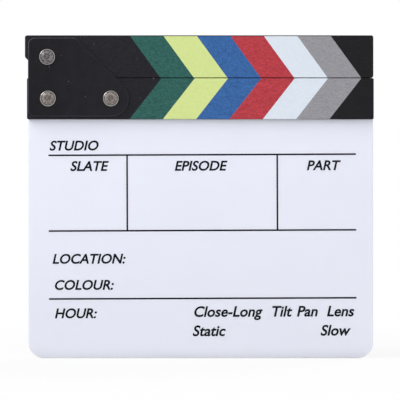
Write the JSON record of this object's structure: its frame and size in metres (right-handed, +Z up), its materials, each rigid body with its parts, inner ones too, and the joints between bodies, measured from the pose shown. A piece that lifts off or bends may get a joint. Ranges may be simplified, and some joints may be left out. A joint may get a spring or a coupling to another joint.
{
  "type": "clapperboard",
  "caption": "Hand-held clapperboard: a white writing panel under a fixed striped stick, with a striped clapstick that swings up on a plated hinge at its left end.",
  "frame": {"origin": "middle of the writing panel's bottom edge, at half its thickness", "axes": "+Z up along the panel, +X to the right as a reader sees the board, -Y out of its front"},
  "size_m": [0.2012, 0.0226, 0.1864],
  "materials": {
    "panel_acrylic": "polished white acrylic sheet",
    "stick_black": "black satin print on fibreboard, fine linen texture",
    "plate_black": "satin black coating",
    "screw_steel": "plated steel, turned head",
    "nut_steel": "zinc plated steel",
    "sleeve_steel": "turned steel tube",
    "panel_screw_steel": "zinc plated steel",
    "friction_nylon": "natural nylon",
    "magnet_nickel": "nickel plated",
    "stripe_green": "printed film, satin",
    "stripe_yellow": "printed film, satin",
    "stripe_blue": "printed film, satin",
    "stripe_red": "printed film, satin",
    "stripe_white": "printed film, satin",
    "stripe_grey": "printed film, satin"
  },
  "bodies": {
    "board": {"writing_panel": "panel_acrylic", "lower_stick": "stick_black", "front_hinge_plate": "plate_black", "rear_hinge_plate": "plate_black", "pivot_screw": "screw_steel", "clamp_screws": "screw_steel", "pivot_sleeve": "sleeve_steel", "front_friction_washer": "friction_nylon", "rear_friction_washer": "friction_nylon", "pivot_lock_nut": "nut_steel", "clamp_lock_nuts": "nut_steel", "panel_screws": "panel_screw_steel", "lower_magnet": "magnet_nickel", "lower_stripe_green": "stripe_green", "lower_stripe_yellow": "stripe_yellow", "lower_stripe_blue": "stripe_blue", "lower_stripe_red": "stripe_red", "lower_stripe_white": "stripe_white", "lower_stripe_grey": "stripe_grey"},
    "clapstick": {"upper_stick": "stick_black", "upper_magnet": "magnet_nickel", "upper_stripe_green": "stripe_green", "upper_stripe_yellow": "stripe_yellow", "upper_stripe_blue": "stripe_blue", "upper_stripe_red": "stripe_red", "upper_stripe_white": "stripe_white", "upper_stripe_grey": "stripe_grey"}
  },
  "joints": [
    {"name": "clap_hinge", "type": "hinge", "parent": "board", "child": "clapstick", "pos_m": [-0.0885, 0, 0.1738], "axis": [0, -1, 0], "range_deg": [0, 66]}
  ]
}
